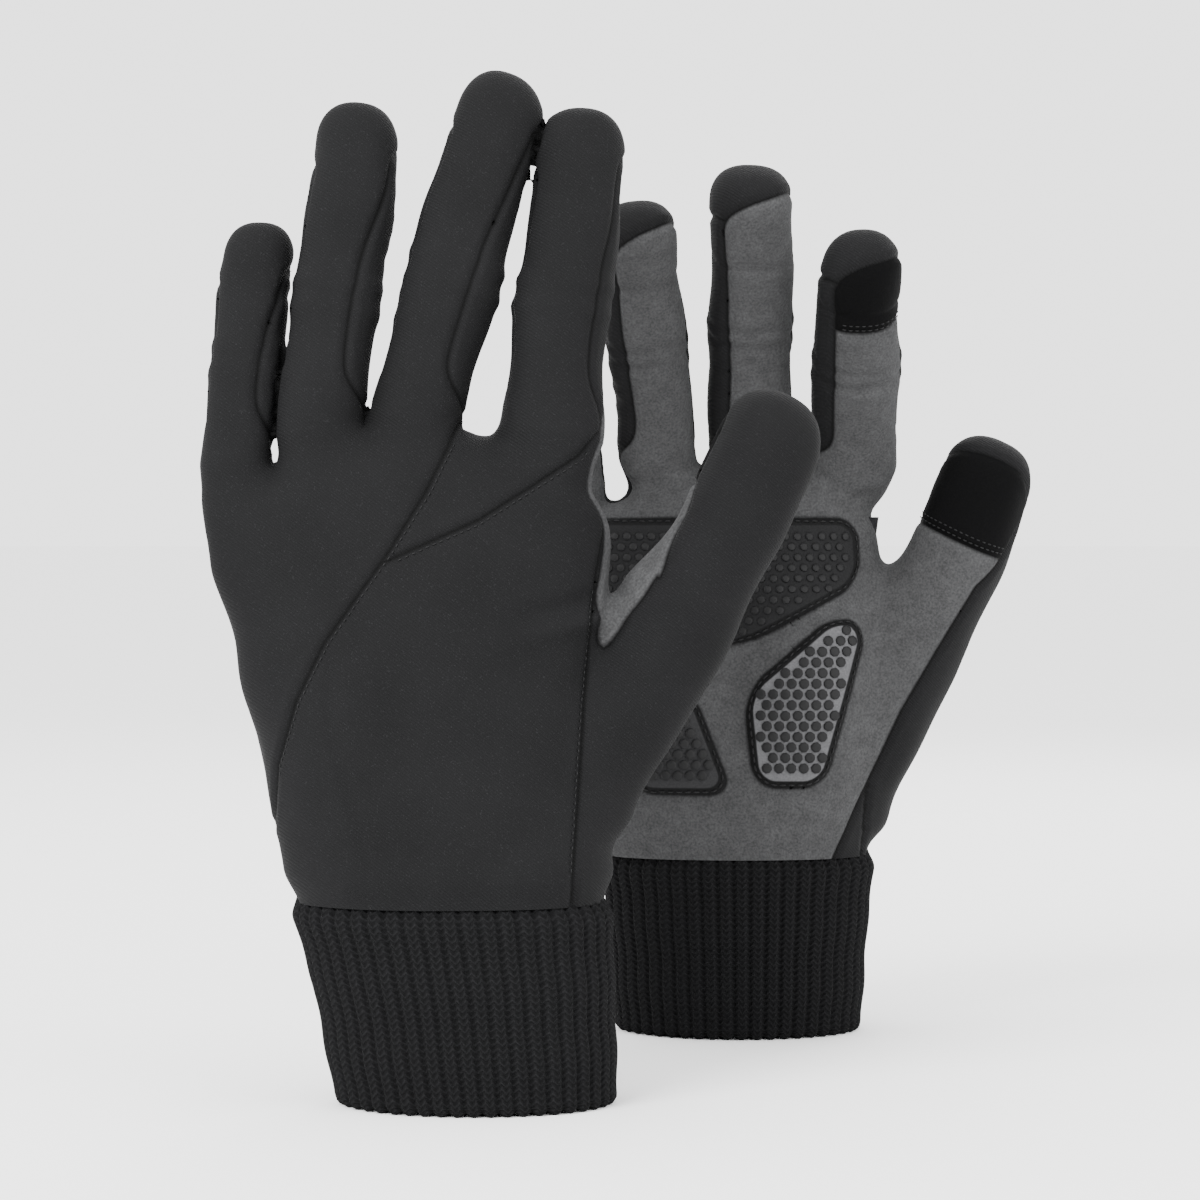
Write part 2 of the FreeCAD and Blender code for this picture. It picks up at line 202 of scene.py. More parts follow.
class Glove:
    """One glove's shape as a field that is negative inside it, and the places of its seams."""

    def __init__(self, side):
        self.side = side
        self.facing = 1.0 if side == "left" else -1.0
        self.hand_z, self.hand = smooth_table(HANDS[side], 7.0)
        self.web_x, self.web = smooth_table(WEBS[side], 3.0)
        self.stalls = {name: self.stall_frame(name) for name in STALLS}
        self.flat_thumb = self.stall_frame("thumb", rolled=False)
        # The left glove's seams serve the right one too, moved with the middle of its hand.
        self.seam_shift, self.seam_drop = (0.0, 0.0) if side == "left" else (SEAM_SHIFT, SEAM_DROP)

    def stall_frame(self, name, rolled=True):
        """A stall's root, and its directions along, across toward the thumb, and toward the palm."""
        x, palmward, height, *turns = STANCES[self.side][name]
        lean, tilt, roll = (math.radians(turn) for turn in turns)
        if not rolled:
            roll = 0.0
        along = np.array([math.sin(lean) * math.cos(tilt), math.sin(tilt), math.cos(lean) * math.cos(tilt)])
        palm = np.array([0.0, 1.0, 0.0]) - along * along[1]
        palm /= np.linalg.norm(palm)
        across = np.cross(along, palm)
        if across[0] < 0:
            across = -across
        rolled_palm = palm * math.cos(roll) - across * math.sin(roll)
        rolled_across = across * math.cos(roll) + palm * math.sin(roll)
        return np.array([x, palmward, height]), along, rolled_across, rolled_palm

    def world(self, q):
        """Row frame metres from the glove's own millimetres."""
        out = np.empty_like(q)
        out[:, 0] = q[:, 0] + PAIR_SHIFT
        out[:, 1] = self.facing * (q[:, 1] - PAIR_SPACING / 2)
        out[:, 2] = q[:, 2]
        return out * MM

    def turn(self, n):
        out = n.copy()
        out[:, 1] *= self.facing
        return out

    def coords(self, q, name, flat=False):
        """Distance up a stall, sideways toward the thumb side, and toward the palm."""
        root, along, across, palm = self.flat_thumb if flat else self.stalls[name]
        d = q - root
        return d @ along, d @ across, d @ palm

    def radius(self, name, s):
        root_radius, tip_radius, length, _ = STALLS[name]
        return root_radius - (root_radius - tip_radius) * np.clip(s / (length - tip_radius), -0.2, 1)

    def bow(self, name, s):
        """How far a stall's middle line has bent to the palm at a distance up it."""
        share = np.clip(s / STALLS[name][2], 0, 1.2)
        curl = CURL[self.side] * (0.5 if name == "thumb" else 1.0)
        return curl * (share ** 2 - 0.35 * share)

    def stall(self, q, name):
        """The field of one stall: a flattened tube with a rounded tip, curled a little to the palm."""
        _, tip_radius, length, lower = STALLS[name]
        s, a, b = self.coords(q, name)
        r = self.radius(name, s)
        b = b - self.bow(name, s)
        wide = r * (1.0 + 0.035 * bump(s - lower, 7.0) - 0.03 * bump(s - lower * 0.5, 8.0))
        deep = r * (0.93 + 0.03 * bump(s - lower, 8.0))
        low, narrowing = THUMB_FOOT if name == "thumb" else FINGER_FOOT
        shrink = 1 - narrowing * np.clip(s / low, 0, 1.3)
        wide, deep = wide * shrink, deep * shrink
        k = (np.abs(a / wide) ** SQUARENESS + np.abs(b / deep) ** SQUARENESS) ** (1 / SQUARENESS)
        start = length - 1.15 * tip_radius
        t = np.clip((s - start) / (length - start), 0, None)
        k = (k ** 2.4 + t ** 2.4) ** (1 / 2.4)
        u = np.clip((low + 8 - s) / 8, 0, None)
        k = np.sqrt(k ** 2 + u ** 2)
        return (k - 1) * np.minimum(wide, deep)

    def middle(self, z):
        return np.interp(z, self.hand_z, self.hand[0])

    def side_line(self, x, z):
        """How far toward the palm the back's cloth reaches round the hand."""
        return 3.0 - 7.0 * smoothstep(34, 44, x - self.middle(z))

    def past_seam(self, q, seam, by_height):
        """How far a point is past a seam of the back: toward the thumb, or upward."""
        x, z = q[:, 0] - self.seam_shift, q[:, 2] + self.seam_drop
        return x - np.interp(z, *zip(*seam)) if by_height else z - np.interp(x, *zip(*seam))

    def past_thumb_edge(self, q):
        s, a, _ = self.coords(q, "thumb", flat=True)
        return a - np.interp(s, *zip(*THUMB_EDGE))

    def meeting_angles(self, name):
        """Where the side line meets a finger's root, in degrees from the back on its two sides."""
        root = self.stalls[name][0]
        radius = STALLS[name][0]
        angles = []
        for way in (-1.0, 1.0):
            line = self.side_line(root[0] + way * radius, root[2]) - root[1]
            angles.append(way * math.degrees(math.acos(max(-0.9, min(0.9, -line / radius)))))
        return angles

    def palm_body(self, q):
        z = q[:, 2]
        centre, wide, deep = (np.interp(z, self.hand_z, column) for column in self.hand)
        k = (np.abs((q[:, 0] - centre) / wide) ** 2.3 + np.abs(q[:, 1] / deep) ** 2.3) ** (1 / 2.3)
        top = np.interp(q[:, 0], self.web_x, self.web[0])
        t = np.clip((z - top + 15) / 15, 0, None)
        k = (k ** 2.4 + t ** 2.4) ** (1 / 2.4)
        return (k - 1) * deep

    def blob(self, q, centre, radii):
        d = (q - np.array(centre)) / np.array(radii)
        k = np.sqrt((d ** 2).sum(1))
        return (k - 1) * min(radii)

    def pad_distance(self, q, name):
        """Distance from a pad's rounded outline, negative inside it, looking at the palm."""
        outline = self.pad_outline(name)
        total = 0
        for (x0, z0), (x1, z1) in zip(outline, outline[1:] + outline[:1]):
            length = math.hypot(x1 - x0, z1 - z0)
            outward = ((q[:, 2] - z0) * (x1 - x0) - (q[:, 0] - x0) * (z1 - z0)) / length
            total = total + np.clip(outward + PAD_CORNER, 0, None) ** 2
        return np.sqrt(total) - PAD_CORNER

    def pad_outline(self, name):
        points = PADS[name]
        middle = sum(z for _, z in points) / len(points)
        centre = float(self.middle(middle))
        return [(centre + x, z) for x, z in points]

    def field(self, q):
        """Distance outside the glove's cloth, about in millimetres."""
        body = self.palm_body(q)
        centre = float(self.middle(92))
        for (x, p, z), radii in PALM_SWELLS:
            body = smooth_min(body, self.blob(q, (centre + x, p, z), radii), SWELL_FILLET)
        whole = smooth_min(body, self.stall(q, "thumb"), THUMB_FILLET)
        for name in FINGERS:
            whole = np.minimum(whole, smooth_min(body, self.stall(q, name), FINGER_FILLET))
        return whole + self.relief(q)

    def relief(self, q):
        """Small rises and dips of the cloth: pads, folds and slack."""
        x, p, z = q[:, 0], q[:, 1], q[:, 2]
        on_palm = smoothstep(2, 8, p)
        on_back = smoothstep(2, 8, -p)
        total = 0
        for name in PADS:
            total = total - PAD_RISE * on_palm * smoothstep(1.2, -1.2, self.pad_distance(q, name))
        centre = self.middle(z)
        # The hand narrows into the seam above the cuff.
        total = total + 1.6 * smoothstep(60, 51, z)
        # Folds across the palm and by the thumb.
        crease = z - (106 + 0.32 * (x - centre))
        fading = smoothstep(-44, -20, x - centre) * smoothstep(34, 10, x - centre)
        total = total + 0.9 * on_palm * bump(crease, 2.2) * fading
        fold = z - (122 + 0.25 * (x - centre - 40))
        total = total - 0.9 * on_back * bump(fold, 2.6) * bump(x - centre - 40, 16)
        total = total + 0.7 * on_back * bump(fold - 5.5, 2.6) * bump(x - centre - 40, 16)
        # A dart pressed into the back below the slanting seam.
        dart = x - self.seam_shift - np.interp(z, *zip(*DART))
        total = total + 0.45 * on_back * bump(dart, 1.5) * smoothstep(56, 64, z) * smoothstep(120, 112, z)
        for fx, fp, fz, phase, height in SLACK:
            total = total + height * np.sin(fx * x + fp * p + fz * z + phase)
        # Folds inside the fingers' joints, and slack over their knuckles.
        for name in FINGERS:
            s, a, b = self.coords(q, name)
            near = smoothstep(22, 14, np.hypot(a, b)) * smoothstep(4, 12, s)
            palmar = smoothstep(-2, 6, b)
            up = s - STALLS[name][3]
            folds = bump(up, 1.6) + 0.7 * bump(up - 5, 1.3) + 0.8 * bump(up - 26, 1.5)
            knuckle = bump(up - 3, 2.0) + bump(up + 4, 2.0)
            total = total + near * palmar * 0.7 * folds
            total = total - near * (1 - palmar) * 0.35 * knuckle
        return total

    def normals(self, q, step=0.35):
        out = np.empty_like(q)
        for axis in range(3):
            shift = np.zeros(3)
            shift[axis] = step
            out[:, axis] = self.field(q + shift) - self.field(q - shift)
        return unit(out), np.linalg.norm(out, axis=1) / (2 * step)

    def settle(self, q, level=0.0, rounds=3):
        """Moves points onto the cloth's surface, or a level of its field."""
        for _ in range(rounds):
            n, slope = self.normals(q)
            away = (self.field(q) - level) / np.maximum(slope, 0.3)
            q = q - n * np.clip(away, -1.5, 1.5)[:, None]
        return q

    def drop_on(self, x, z, toward=1.0):
        """Points of the cloth straight in front of (x, z), seen from the palm side or the back."""
        count = len(x)
        depths = np.arange(60.0, -60.0, -0.6) * toward
        q = np.empty((len(depths), count, 3))
        q[:, :, 0] = x
        q[:, :, 1] = depths[:, None]
        q[:, :, 2] = z
        values = self.field(q.reshape(-1, 3)).reshape(len(depths), count)
        first = np.argmax(values < 0, axis=0)
        points = q[first, np.arange(count)]
        return self.settle(points)


def surface_net(glove, low, high, step, level=0.0):
    """A closed mesh of a glove's field: one point in each cell that the surface crosses."""
    counts = np.ceil((np.array(high) - np.array(low)) / step).astype(int)
    axes = [low[n] + step * np.arange(counts[n] + 1) for n in range(3)]
    shape = tuple(len(a) for a in axes)
    values = np.empty(shape, np.float32)
    for number, x in enumerate(axes[0]):
        p, z = np.meshgrid(axes[1], axes[2], indexing="ij")
        q = np.stack([np.full(p.size, x), p.ravel(), z.ravel()], 1)
        values[number] = glove.field(q).reshape(p.shape) - level
    inside = values < 0
    corners = [(i, j, k) for i in (0, 1) for j in (0, 1) for k in (0, 1)]
    cells = tuple(n - 1 for n in shape)
    count = sum(inside[i:i + cells[0], j:j + cells[1], k:k + cells[2]].astype(np.int8) for i, j, k in corners)
    where = np.argwhere((count > 0) & (count < 8))
    number_of = -np.ones(cells, int)
    number_of[tuple(where.T)] = np.arange(len(where))
    found = np.stack([values[where[:, 0] + i, where[:, 1] + j, where[:, 2] + k] for i, j, k in corners], 1)
    places, hits = np.zeros((len(where), 3)), np.zeros(len(where))
    for one in range(8):
        for axis in range(3):
            bit = (4, 2, 1)[axis]
            if one & bit:
                continue
            other = one | bit
            v0, v1 = found[:, one], found[:, other]
            crossing = (v0 < 0) != (v1 < 0)
            share = np.where(crossing, v0 / np.where(crossing, v0 - v1, 1), 0)
            for k in range(3):
                along = share if k == axis else corners[one][k]
                places[:, k] += np.where(crossing, along, 0)
            hits += crossing
    points = np.array(low) + step * (where + places / hits[:, None])
    quads = []
    for axis in range(3):
        others = [n for n in range(3) if n != axis]
        lead = [slice(None)] * 3
        lag = [slice(None)] * 3
        lead[axis], lag[axis] = slice(1, None), slice(None, -1)
        change = inside[tuple(lag)] != inside[tuple(lead)]
        spots = np.argwhere(change)
        keep = (spots[:, others[0]] > 0) & (spots[:, others[1]] > 0)
        keep &= (spots[:, others[0]] < cells[others[0]]) & (spots[:, others[1]] < cells[others[1]])
        spots = spots[keep]
        ring = []
        for back_0, back_1 in ((1, 1), (0, 1), (0, 0), (1, 0)):
            cell = spots.copy()
            cell[:, others[0]] -= back_0
            cell[:, others[1]] -= back_1
            ring.append(number_of[tuple(cell.T)])
        quad = np.stack(ring, 1)
        outward = inside[tuple(spots.T)]
        if axis == 1:
            outward = ~outward
        quad[~outward] = quad[~outward][:, ::-1]
        quads.append(quad)
    quads = np.concatenate(quads)
    quads = quads[(quads >= 0).all(1)]
    tris = np.concatenate([quads[:, [0, 1, 2]], quads[:, [0, 2, 3]]])
    return points, tris


def edges_of(tris):
    """Each triangle's three edges as numbers into a list of the mesh's edges."""
    pairs = np.sort(np.stack([tris[:, [0, 1]], tris[:, [1, 2]], tris[:, [2, 0]]], 1).reshape(-1, 2), 1)
    edges, which = np.unique(pairs, axis=0, return_inverse=True)
    return edges, which.reshape(-1, 3)


def split(points, tris, values, valid):
    """Cuts the triangles along the line where values cross zero, where both ends of an edge are valid."""
    edges, which = edges_of(tris)
    v0, v1 = values[edges[:, 0]], values[edges[:, 1]]
    crossing = (v0 * v1 < 0) & (np.abs(v0) > 1e-4) & (np.abs(v1) > 1e-4)
    crossing &= valid[edges[:, 0]] & valid[edges[:, 1]]
    if not crossing.any():
        return points, tris
    share = v0[crossing] / (v0[crossing] - v1[crossing])
    share = np.clip(share, 0.02, 0.98)[:, None]
    added = points[edges[crossing, 0]] * (1 - share) + points[edges[crossing, 1]] * share
    number = -np.ones(len(edges), int)
    number[crossing] = len(points) + np.arange(crossing.sum())
    middles = number[which]
    count = (middles >= 0).sum(1)
    result = [tris[count == 0]]
    for lone in range(3):
        order = [(lone + n) % 3 for n in range(3)]
        turned, mids = tris[:, order], middles[:, order]
        two = (count == 2) & (mids[:, 1] < 0)
        a, b, c = turned[two].T
        first, last = mids[two, 0], mids[two, 2]
        result += [np.stack([a, first, last], 1), np.stack([first, b, c], 1), np.stack([first, c, last], 1)]
        one = (count == 1) & (mids[:, 0] >= 0)
        a, b, c = turned[one].T
        first = mids[one, 0]
        result += [np.stack([a, first, c], 1), np.stack([first, b, c], 1)]
    three = count == 3
    a, b, c = tris[three].T
    ab, bc, ca = middles[three].T
    for corners in ((a, ab, ca), (ab, b, bc), (bc, c, ca), (ab, bc, ca)):
        result.append(np.stack(corners, 1))
    return np.concatenate([points, added]), np.concatenate(result)


def vertex_normals(points, tris):
    a, b, c = points[tris[:, 0]], points[tris[:, 1]], points[tris[:, 2]]
    face = np.cross(b - a, c - a)
    out = np.zeros_like(points)
    for n in range(3):
        np.add.at(out, tris[:, n], face)
    return unit(out)


def keep_values(obj, name, kind, values):
    """Gives an object's points a named value each, for its material."""
    kept = obj.data.attributes.new(name, kind, "POINT")
    kept.data.foreach_set("value" if kind == "FLOAT" else "vector", np.asarray(values, np.float32).ravel())


def make_mesh(name, points, faces, material, normals=None):
    """An object from numpy points in metres and faces, shaded smooth."""
    mesh = bpy.data.meshes.new(name)
    mesh.from_pydata(points.tolist(), [], faces if isinstance(faces, list) else faces.tolist())
    mesh.polygons.foreach_set("use_smooth", np.ones(len(mesh.polygons), bool))
    mesh.update()
    if normals is not None:
        mesh.normals_split_custom_set_from_vertices(normals.tolist())
    obj = bpy.data.objects.new(name, mesh)
    keep_values(obj, "rest", "FLOAT_VECTOR", points)
    bpy.context.scene.collection.objects.link(obj)
    if material is not None:
        mesh.materials.append(material)
    return obj


def plain_material(name, color, rough):
    mat = bpy.data.materials.new(name)
    mat.use_nodes = True
    shader = mat.node_tree.nodes["Principled BSDF"]
    shader.inputs["Base Color"].default_value = (*color, 1)
    shader.inputs["Roughness"].default_value = rough
    return mat


class Recipe:
    """A cloth's shader: nodes are added one by one and joined by their outputs."""

    def __init__(self, name, rough, shine):
        self.mat = bpy.data.materials.new(name)
        self.mat.use_nodes = True
        self.tree = self.mat.node_tree
        self.shader = self.tree.nodes["Principled BSDF"]
        self.shader.inputs["Roughness"].default_value = rough
        self.shader.inputs["Specular IOR Level"].default_value = shine

    def node(self, kind, sources, output=0, **settings):
        made = self.tree.nodes.new(kind)
        for key, value in settings.items():
            setattr(made, key, value)
        for socket, source in sources.items():
            if hasattr(source, "is_output"):
                self.tree.links.new(source, made.inputs[socket])
            else:
                made.inputs[socket].default_value = source
        return made.outputs[output]

    def attribute(self, name, output="Vector"):
        return self.node("ShaderNodeAttribute", {}, output, attribute_name=name)

    def place(self):
        """The point on the cloth in millimetres, which stays with it when it bends."""
        metres = self.attribute("rest")
        return self.node("ShaderNodeVectorMath", {0: metres, "Scale": 1 / MM}, operation="SCALE")

    def math(self, operation, first, second=0.0, third=0.0):
        return self.node("ShaderNodeMath", {0: first, 1: second, 2: third}, operation=operation)

    def noise(self, where, scale, detail=2.0):
        return self.node("ShaderNodeTexNoise", {"Vector": where, "Scale": scale, "Detail": detail}, "Fac")

    def ramp(self, value, low, high, to_low, to_high):
        return self.node("ShaderNodeMapRange", {"Value": value, "From Min": low, "From Max": high,
                                                "To Min": to_low, "To Max": to_high})

    def waves(self, where, direction):
        along = self.node("ShaderNodeVectorMath", {0: where, 1: direction}, "Value", operation="DOT_PRODUCT")
        return self.math("SINE", along)

    def seam_shadow(self):
        """Painted shade: darkens the cloth where it turns in at a seam."""
        return self.ramp(self.attribute("seam", "Fac"), 0.1, 0.9, 0.18, 1.0)

    def tint(self, color, strength):
        """Colours the cloth: one colour, lighter and darker by a changing strength."""
        scaled = self.node("ShaderNodeVectorMath", {0: color, "Scale": strength}, operation="SCALE")
        self.tree.links.new(scaled, self.shader.inputs["Base Color"])

    def emboss(self, height, depth):
        """Raises the cloth's face by height times depth in millimetres."""
        bump = self.node("ShaderNodeBump", {"Height": height, "Strength": 1.0, "Distance": depth * MM})
        self.tree.links.new(bump, self.shader.inputs["Normal"])


# Brightness of the border sewn round each grip pad.
BORDER_LEVEL = 0.004


def softshell():
    cloth = Recipe("softshell", 0.85, 0.12)
    where = cloth.place()
    fleck = cloth.ramp(cloth.noise(where, 2.6, 1.0), 0.62, 0.74, 0.0, 1.3)
    cloudy = cloth.ramp(cloth.noise(where, 0.05, 3.0), 0.3, 0.7, 0.85, 1.15)
    twill = cloth.ramp(cloth.waves(where, (5.4, 1.5, 7.0)), -1.0, 1.0, -0.12, 0.12)
    shade = cloth.math("ADD", cloth.math("ADD", cloudy, twill), fleck)
    cloth.tint((0.0043, 0.0043, 0.0046), cloth.math("MULTIPLY", shade, cloth.seam_shadow()))
    fine = cloth.math("MULTIPLY", cloth.waves(where, (5.4, 1.5, 7.0)), 0.6)
    cloth.emboss(cloth.math("ADD", fine, cloth.noise(where, 1.7)), 0.07)
    return cloth.mat


def suede():
    cloth = Recipe("suede", 0.95, 0.08)
    where = cloth.place()
    grain = cloth.ramp(cloth.noise(where, 1.5, 3.0), 0.3, 0.7, 0.72, 1.28)
    mottle = cloth.ramp(cloth.noise(where, 0.22, 3.0), 0.3, 0.7, 0.88, 1.12)
    shade = cloth.math("MULTIPLY", grain, mottle)
    cloth.tint((0.0385, 0.0387, 0.0396), cloth.math("MULTIPLY", shade, cloth.seam_shadow()))
    cloth.emboss(cloth.noise(where, 1.5, 3.0), 0.22)
    return cloth.mat


def speckled(name, rough, shine, color, scale, detail, darkest, lightest, depth=0.0):
    """One colour with lighter and darker specks, raised by a depth in millimetres."""
    cloth = Recipe(name, rough, shine)
    specks = cloth.noise(cloth.place(), scale, detail)
    cloth.tint(color, cloth.ramp(specks, 0.3, 0.7, darkest, lightest))
    if depth:
        cloth.emboss(specks, depth)
    return cloth.mat


def grip_base(name, level):
    """A grip pad's ground at a brightness, with a dark border along its edge."""
    cloth = Recipe(name, 0.8, 0.1)
    where = cloth.place()
    border = cloth.ramp(cloth.attribute("edge", "Fac"), -2.6, -2.2, 1.0, BORDER_LEVEL / level)
    grain = cloth.ramp(cloth.noise(where, 1.8, 2.0), 0.3, 0.7, 0.85, 1.15)
    cloth.tint((level, level, level * 1.04), cloth.math("MULTIPLY", border, grain))
    cloth.emboss(cloth.noise(where, 1.8, 2.0), 0.12)
    return cloth.mat


def rib_knit():
    cloth = Recipe("rib_knit", 0.95, 0.08)
    where = cloth.place()
    parts = cloth.tree.nodes.new("ShaderNodeSeparateXYZ")
    cloth.tree.links.new(cloth.attribute("knit"), parts.inputs[0])
    column = cloth.math("FRACT", cloth.math("MULTIPLY", parts.outputs[0], 2.0))
    slant = cloth.math("ABSOLUTE", cloth.math("SUBTRACT", column, 0.5))
    row = cloth.math("ADD", cloth.math("MULTIPLY", slant, 2.2), parts.outputs[1])
    stitch = cloth.math("SINE", cloth.math("MULTIPLY", row, 2 * math.pi / 1.7))
    wale = cloth.math("MULTIPLY", cloth.math("COSINE", cloth.math("MULTIPLY", column, 2 * math.pi)), -0.8)
    fuzz = cloth.noise(where, 1.6, 3.0)
    height = cloth.math("ADD", cloth.math("ADD", stitch, wale), fuzz)
    # Painted shade: the knit is lighter on the crests of its ribs and stitches and darker in the valleys
    # between them.
    shade = cloth.ramp(cloth.math("ADD", stitch, wale), -1.8, 1.8, 0.45, 1.35)
    cloth.tint((0.0060, 0.0060, 0.0064), cloth.math("MULTIPLY", shade, cloth.ramp(fuzz, 0.3, 0.7, 0.8, 1.3)))
    cloth.emboss(height, 0.24)
    return cloth.mat


MATERIALS = {
    "softshell": softshell(),
    "suede": suede(),
    "touch_fabric": speckled("touch_fabric", 0.85, 0.06, (0.0012, 0.0012, 0.0013), 2.2, 2.0, 0.7, 1.35, 0.10),
    "rib_knit": rib_knit(),
    "fleece_lining": speckled("fleece", 1.0, 0.05, (0.014, 0.014, 0.015), 0.9, 4.0, 0.7, 1.3, 0.5),
}
PAD_BASES = {
    "knuckle_pad": grip_base("knuckle_grip", 0.0095),
    "thumb_pad": grip_base("thumb_grip", 0.080),
    "heel_pad": grip_base("heel_grip", 0.020),
}
DOTS = speckled("grip_dots", 0.6, 0.22, (0.0030, 0.0030, 0.0033), 0.4, 2.0, 0.85, 1.2)
THREAD = speckled("thread", 0.7, 0.25, (0.004, 0.004, 0.0043), 0.6, 2.0, 0.8, 1.3)


def seam_angles(glove, name, s):
    """Where a finger's four panels meet, in degrees round from the back toward the thumb side."""
    start = HINGE_START[glove.side][name]
    flare = np.exp(-np.clip((s - start) / 7.0, 0, None) ** 2)
    near_side = 43.0 if name == "index" else 24.0
    little_meet, thumb_meet = glove.meeting_angles(name)
    length = STALLS[name][2]
    thumb_palm = 98.0 + (thumb_meet + 4 - 98) * flare
    little_palm = -145.0 + (little_meet - 4 + 145) * flare
    ending = smoothstep(length - 20, length - 10, s)
    closing = np.maximum(0.8 * smoothstep(0.35 * length, 1.05 * length, s), ending)
    thumb_seam = near_side + (thumb_meet - 4 - near_side) * flare
    thumb_seam = thumb_seam + (thumb_palm - 1 - thumb_seam) * closing
    little_seam = -75.0 + (little_meet + 4 + 75) * flare
    little_seam = little_seam + (little_palm + 1 - little_seam) * ending
    return little_palm, little_seam, thumb_seam, thumb_palm


def angle_round(a, b):
    """Degrees from the back of a finger, positive toward the thumb side."""
    return np.degrees(np.arctan2(a, -b))


# How far below a stall's end the rounded end of its palm panel starts.
ARCH_HEIGHT = 17.0
# About how far a degree is, round a stall.
MM_PER_DEGREE = 0.2


def arch(name, s, angle):
    """Positive where a finger's back panel wraps over the tip, past the rounded end of the palm panel."""
    length = STALLS[name][2]
    centre, reach = (187.0, 88.0) if name == "thumb" else (156.5, 58.5)
    off = (angle - centre + 180) % 360 - 180
    return (off / reach) ** 2 + (np.clip(s - length + ARCH_HEIGHT, 0, None) / 12.5) ** 2 - 1


PALM_CLOTH, TOUCH = "palm", "touch"


def classify(glove, q):
    """The cloth panel and the moving part that each point belongs to."""
    cloth = np.full(len(q), PALM_CLOTH, object)
    part = np.full(len(q), "hand", object)
    fields = {name: glove.stall(q, name) for name in STALLS}
    nearest = np.argmin(np.stack(list(fields.values())), axis=0)
    x, p, z = q.T
    at_thumb = (glove.past_thumb_edge(q) > 0) & (x > glove.middle(z) + 15)
    is_back = (glove.side_line(x, z) > p) | at_thumb
    main = glove.past_seam(q, BACK_SEAM, True)
    thumb_side = glove.past_seam(q, THUMB_SEAM, True)
    gusset = glove.past_seam(q, GUSSET_SEAM, False)
    cloth[is_back] = "lower_back"
    cloth[is_back & (main < 0)] = "outer_back"
    cloth[is_back & (main >= 0) & (gusset > 0)] = "index_back"
    cloth[is_back & (thumb_side > 0) & (gusset <= 0)] = "thumb_back"
    for pad in PADS:
        cloth[(p > 2) & (glove.pad_distance(q, pad) < 0)] = pad
    for number, name in enumerate(STALLS):
        length = STALLS[name][2]
        s, a, b = glove.coords(q, name)
        start = HINGE_START[glove.side][name]
        mine = (nearest == number) & (s > start) & (fields[name] < STALL_REACH)
        part[mine] = np.where(s > middle_of(name, start), name + "_tip", name + "_base")[mine]
        if name == "thumb":
            angle = angle_round(*glove.coords(q, name, flat=True)[1:])
            palm_side = (angle < thumb_inner(s)) | (angle > 180 - thumb_outer(s))
            palm_side &= (arch(name, s, angle) < 0) | (s < length - ARCH_HEIGHT)
            cloth[mine] = "thumb_back"
            cloth[mine & palm_side] = PALM_CLOTH
            cloth[mine & palm_side & (s > THUMB_TOUCH_START)] = TOUCH + "_thumb"
            continue
        angle = angle_round(a, b)
        little_palm, little_seam, thumb_seam, thumb_palm = seam_angles(glove, name, s)
        back = (angle > little_seam) & (angle < thumb_seam)
        palm = (angle > thumb_palm) | (angle < little_palm)
        over = (arch(name, s, angle) > 0) & (s > length - ARCH_HEIGHT)
        back_cloth = "index_back" if name == "index" else "outer_back"
        cloth[mine] = "side_" + name
        cloth[mine & back] = back_cloth
        cloth[mine & palm & ~over] = PALM_CLOTH
        if name == "index":
            cloth[mine & palm & ~over & (s > length - INDEX_TOUCH_LENGTH)] = TOUCH + "_index"
        cloth[mine & over & (s > length - SIDE_STOP)] = back_cloth
    return cloth, part


def thumb_inner(s):
    """The angle from the thumb's back at which the suede starts on its side next to the hand."""
    return -47.0 - 16 * smoothstep(2, 18, s) - 22 * smoothstep(18, 32, s)


def thumb_outer(s):
    """Degrees from the palm at which the thumb's suede ends on its outer side."""
    return np.interp(s, [-75, -22, 19, 41, 60], [2, 9, 33, 80, 88])


def middle_of(name, start):
    """Where a stall's cloth is cut between the lower and the upper moving part."""
    return (start + HINGE_LENGTH + STALLS[name][3] - HALF_BEND) / 2


